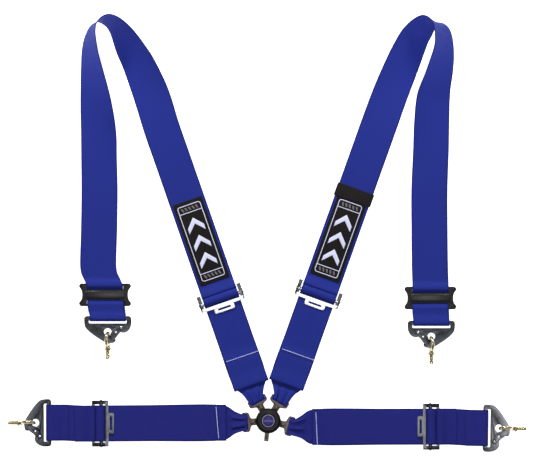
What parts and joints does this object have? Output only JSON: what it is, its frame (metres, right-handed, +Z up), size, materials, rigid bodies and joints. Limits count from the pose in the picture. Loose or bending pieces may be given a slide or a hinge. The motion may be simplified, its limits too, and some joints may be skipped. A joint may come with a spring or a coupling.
{
  "type": "racing harness",
  "caption": "Racing harness with cam-lock buckle, shoulder and lap straps, tilt-lock adjusters, strap sliders, snap hooks and eye bolts, laid flat.",
  "frame": {"origin": "on the buckle's axis, in the plane of its back plate, which rests on the table", "axes": "+Z up out of the buckle's face, +Y towards the shoulder straps, +X along the lap straps"},
  "size_m": [1.037, 0.8755, 0.0901],
  "materials": {
    "webbing": "woven polyester webbing, satin sheen",
    "label": "black woven patch and elastic",
    "slider_black": "black coated steel",
    "buckle_black": "black anodised alloy",
    "badge": "blue-violet enamel badge with a plain band",
    "tongue_bronze": "dark bronze plated steel",
    "chrome": "bright plated steel",
    "yellow_zinc": "yellow passivated zinc on steel",
    "spring_steel": "bare spring steel",
    "hook_steel": "grey zinc plated steel"
  },
  "bodies": {
    "buckle": {"buckle_base": "hook_steel", "buckle_housing": "buckle_black", "buckle_pivot": "hook_steel", "buckle_screw_1": "hook_steel", "buckle_screw_2": "hook_steel", "buckle_screw_3": "hook_steel", "tongue_rivet": "hook_steel", "latch_spring": "spring_steel", "return_spring": "spring_steel", "tongue_lap_left": "tongue_bronze", "strap_under_lap_left": "webbing"},
    "dial": {"release_cap": "buckle_black", "release_lever": "tongue_bronze", "badge": "badge", "cam_plate": "hook_steel"},
    "tongue_shoulder_left": {"tongue_shoulder_left": "tongue_bronze", "strap_under_shoulder_left": "webbing"},
    "strap_shoulder_left": {"upper_strap_shoulder_left": "webbing", "strap_end_shoulder_left": "webbing", "patch_shoulder_left": "label", "tail_shoulder_left": "webbing"},
    "adjuster_shoulder_left": {"adjuster_shoulder_left": "chrome", "lock_bar_shoulder_left": "chrome"},
    "tail_end_shoulder_left": {"tail_end_shoulder_left": "webbing"},
    "hook_shoulder_left": {"hook_shoulder_left": "hook_steel"},
    "gate_shoulder_left": {"gate_shoulder_left": "hook_steel"},
    "eye_bolt_shoulder_left": {"eye_bolt_shoulder_left": "yellow_zinc"},
    "slider_shoulder_left": {"slider_shoulder_left": "slider_black"},
    "tongue_shoulder_right": {"tongue_shoulder_right": "tongue_bronze", "strap_under_shoulder_right": "webbing"},
    "strap_shoulder_right": {"upper_strap_shoulder_right": "webbing", "strap_end_shoulder_right": "webbing", "patch_shoulder_right": "label", "tail_shoulder_right": "webbing"},
    "adjuster_shoulder_right": {"adjuster_shoulder_right": "chrome", "lock_bar_shoulder_right": "chrome"},
    "tail_end_shoulder_right": {"tail_end_shoulder_right": "webbing"},
    "hook_shoulder_right": {"hook_shoulder_right": "hook_steel"},
    "gate_shoulder_right": {"gate_shoulder_right": "hook_steel"},
    "eye_bolt_shoulder_right": {"eye_bolt_shoulder_right": "yellow_zinc"},
    "slider_shoulder_right": {"slider_shoulder_right": "slider_black"},
    "keeper": {"keeper_band": "label"},
    "strap_lap_left": {"outer_strap_lap_left": "webbing", "tail_lap_left": "webbing"},
    "adjuster_lap_left": {"adjuster_lap_left": "chrome", "lock_bar_lap_left": "chrome"},
    "tail_end_lap_left": {"tail_end_lap_left": "webbing"},
    "hook_lap_left": {"hook_lap_left": "hook_steel"},
    "gate_lap_left": {"gate_lap_left": "hook_steel"},
    "eye_bolt_lap_left": {"eye_bolt_lap_left": "yellow_zinc"},
    "tongue_lap_right": {"tongue_lap_right": "tongue_bronze", "strap_under_lap_right": "webbing"},
    "strap_lap_right": {"outer_strap_lap_right": "webbing", "tail_lap_right": "webbing"},
    "adjuster_lap_right": {"adjuster_lap_right": "chrome", "lock_bar_lap_right": "chrome"},
    "tail_end_lap_right": {"tail_end_lap_right": "webbing"},
    "hook_lap_right": {"hook_lap_right": "hook_steel"},
    "gate_lap_right": {"gate_lap_right": "hook_steel"},
    "eye_bolt_lap_right": {"eye_bolt_lap_right": "yellow_zinc"}
  },
  "joints": [
    {"name": "cap_turn", "type": "hinge", "parent": "buckle", "child": "dial", "pos_m": [0, 0, 0.02], "axis": [0, 0, 1], "range_deg": [-35, 35], "stiffness_Nm_per_rad": 0.3, "deforming": ["latch_spring", "return_spring"]},
    {"name": "release_shoulder_left", "type": "slide", "parent": "buckle", "child": "tongue_shoulder_left", "axis": [-0.4848, 0.8746, 0], "range_m": [0, 0.045]},
    {"name": "adjust_shoulder_left", "type": "slide", "parent": "tongue_shoulder_left", "child": "strap_shoulder_left", "axis": [-0.3291, 0.9443, 0], "range_m": [0, 0.06], "deforming": ["strap_under_shoulder_left", "tail_shoulder_left"]},
    {"name": "tilt_shoulder_left", "type": "hinge", "parent": "strap_shoulder_left", "child": "adjuster_shoulder_left", "pos_m": [-0.09933, 0.25841, 0.0063], "axis": [-0.9443, -0.3291, 0], "range_deg": [0, 20]},
    {"name": "tail_feed_shoulder_left", "type": "slide", "parent": "strap_shoulder_left", "child": "tail_end_shoulder_left", "axis": [-0.3291, 0.9443, 0], "range_m": [0, 0.06]},
    {"name": "hook_swing_shoulder_left", "type": "hinge", "parent": "strap_shoulder_left", "child": "hook_shoulder_left", "pos_m": [-0.321, 0.2052, 0.0071], "axis": [-1, 0, 0], "range_deg": [-8, 60]},
    {"name": "gate_shoulder_left", "type": "hinge", "parent": "hook_shoulder_left", "child": "gate_shoulder_left", "pos_m": [-0.294, 0.18611, 0.01338], "axis": [0, 0.2164, 0.9763], "range_deg": [0, 25], "stiffness_Nm_per_rad": 0.05},
    {"name": "eye_swing_shoulder_left", "type": "hinge", "parent": "hook_shoulder_left", "child": "eye_bolt_shoulder_left", "pos_m": [-0.321, 0.16302, 0.01645], "axis": [-1, 0, 0], "range_deg": [-20, 50]},
    {"name": "slider_shoulder_left", "type": "slide", "parent": "strap_shoulder_left", "child": "slider_shoulder_left", "axis": [0, -1, 0], "range_m": [-0.03, 0.012], "deforming": ["strap_end_shoulder_left"]},
    {"name": "release_shoulder_right", "type": "slide", "parent": "buckle", "child": "tongue_shoulder_right", "axis": [0.5, 0.866, 0], "range_m": [0, 0.045]},
    {"name": "adjust_shoulder_right", "type": "slide", "parent": "tongue_shoulder_right", "child": "strap_shoulder_right", "axis": [0.3368, 0.9416, 0], "range_m": [0, 0.06], "deforming": ["strap_under_shoulder_right", "tail_shoulder_right"]},
    {"name": "tilt_shoulder_right", "type": "hinge", "parent": "strap_shoulder_right", "child": "adjuster_shoulder_right", "pos_m": [0.10482, 0.26564, 0.0063], "axis": [-0.9416, 0.3368, 0], "range_deg": [0, 20]},
    {"name": "tail_feed_shoulder_right", "type": "slide", "parent": "strap_shoulder_right", "child": "tail_end_shoulder_right", "axis": [0.3368, 0.9416, 0], "range_m": [0, 0.06]},
    {"name": "hook_swing_shoulder_right", "type": "hinge", "parent": "strap_shoulder_right", "child": "hook_shoulder_right", "pos_m": [0.326, 0.196, 0.0071], "axis": [-1, 0, 0], "range_deg": [-8, 60]},
    {"name": "gate_shoulder_right", "type": "hinge", "parent": "hook_shoulder_right", "child": "gate_shoulder_right", "pos_m": [0.299, 0.17691, 0.01338], "axis": [0, -0.2164, -0.9763], "range_deg": [0, 25], "stiffness_Nm_per_rad": 0.05},
    {"name": "eye_swing_shoulder_right", "type": "hinge", "parent": "hook_shoulder_right", "child": "eye_bolt_shoulder_right", "pos_m": [0.326, 0.15382, 0.01645], "axis": [-1, 0, 0], "range_deg": [-20, 50]},
    {"name": "slider_shoulder_right", "type": "slide", "parent": "strap_shoulder_right", "child": "slider_shoulder_right", "axis": [0, -1, 0], "range_m": [-0.03, 0.012], "deforming": ["strap_end_shoulder_right"]},
    {"name": "keeper_slide", "type": "slide", "parent": "strap_shoulder_right", "child": "keeper", "axis": [0.3368, 0.9416, 0], "range_m": [0, 0.05]},
    {"name": "adjust_lap_left", "type": "slide", "parent": "buckle", "child": "strap_lap_left", "axis": [-1, -0.0066, 0], "range_m": [0, 0.06], "deforming": ["strap_under_lap_left", "tail_lap_left"]},
    {"name": "tilt_lap_left", "type": "hinge", "parent": "strap_lap_left", "child": "adjuster_lap_left", "pos_m": [-0.3496, -0.00556, 0.0063], "axis": [0.0066, -1, 0], "range_deg": [0, 20]},
    {"name": "tail_feed_lap_left", "type": "slide", "parent": "strap_lap_left", "child": "tail_end_lap_left", "axis": [-1, -0.0066, 0], "range_m": [0, 0.06]},
    {"name": "hook_swing_lap_left", "type": "hinge", "parent": "strap_lap_left", "child": "hook_lap_left", "pos_m": [-0.438, -0.0038, 0.0071], "axis": [-0.0035, 1, 0], "range_deg": [-8, 60]},
    {"name": "gate_lap_left", "type": "hinge", "parent": "hook_lap_left", "child": "gate_lap_left", "pos_m": [-0.457, -0.03087, 0.01338], "axis": [0.2164, 0.0008, 0.9763], "range_deg": [0, 25], "stiffness_Nm_per_rad": 0.05},
    {"name": "eye_swing_lap_left", "type": "hinge", "parent": "hook_lap_left", "child": "eye_bolt_lap_left", "pos_m": [-0.48018, -0.00395, 0.01645], "axis": [-0.0035, 1, 0], "range_deg": [-20, 50]},
    {"name": "release_lap_right", "type": "slide", "parent": "buckle", "child": "tongue_lap_right", "axis": [0.9703, -0.2419, 0], "range_m": [0, 0.045]},
    {"name": "adjust_lap_right", "type": "slide", "parent": "tongue_lap_right", "child": "strap_lap_right", "axis": [1, 0.0025, 0], "range_m": [0, 0.06], "deforming": ["strap_under_lap_right", "tail_lap_right"]},
    {"name": "tilt_lap_right", "type": "hinge", "parent": "strap_lap_right", "child": "adjuster_lap_right", "pos_m": [0.3394, -0.01174, 0.0063], "axis": [-0.0025, 1, 0], "range_deg": [0, 20]},
    {"name": "tail_feed_lap_right", "type": "slide", "parent": "strap_lap_right", "child": "tail_end_lap_right", "axis": [1, 0.0025, 0], "range_m": [0, 0.06]},
    {"name": "hook_swing_lap_right", "type": "hinge", "parent": "strap_lap_right", "child": "hook_lap_right", "pos_m": [0.4334, -0.0146, 0.0071], "axis": [-0.014, -0.9999, 0], "range_deg": [-8, 60]},
    {"name": "gate_lap_right", "type": "hinge", "parent": "hook_lap_right", "child": "gate_lap_right", "pos_m": [0.45211, -0.04186, 0.01338], "axis": [0.2164, -0.003, -0.9763], "range_deg": [0, 25], "stiffness_Nm_per_rad": 0.05},
    {"name": "eye_swing_lap_right", "type": "hinge", "parent": "hook_lap_right", "child": "eye_bolt_lap_right", "pos_m": [0.47557, -0.01519, 0.01645], "axis": [-0.014, -0.9999, 0], "range_deg": [-20, 50]}
  ],
  "couplings": [
    {"joint": "tail_feed_shoulder_left", "follows": "adjust_shoulder_left", "ratio": 1},
    {"joint": "tail_feed_shoulder_right", "follows": "adjust_shoulder_right", "ratio": 1},
    {"joint": "tail_feed_lap_left", "follows": "adjust_lap_left", "ratio": 1},
    {"joint": "tail_feed_lap_right", "follows": "adjust_lap_right", "ratio": 1}
  ]
}
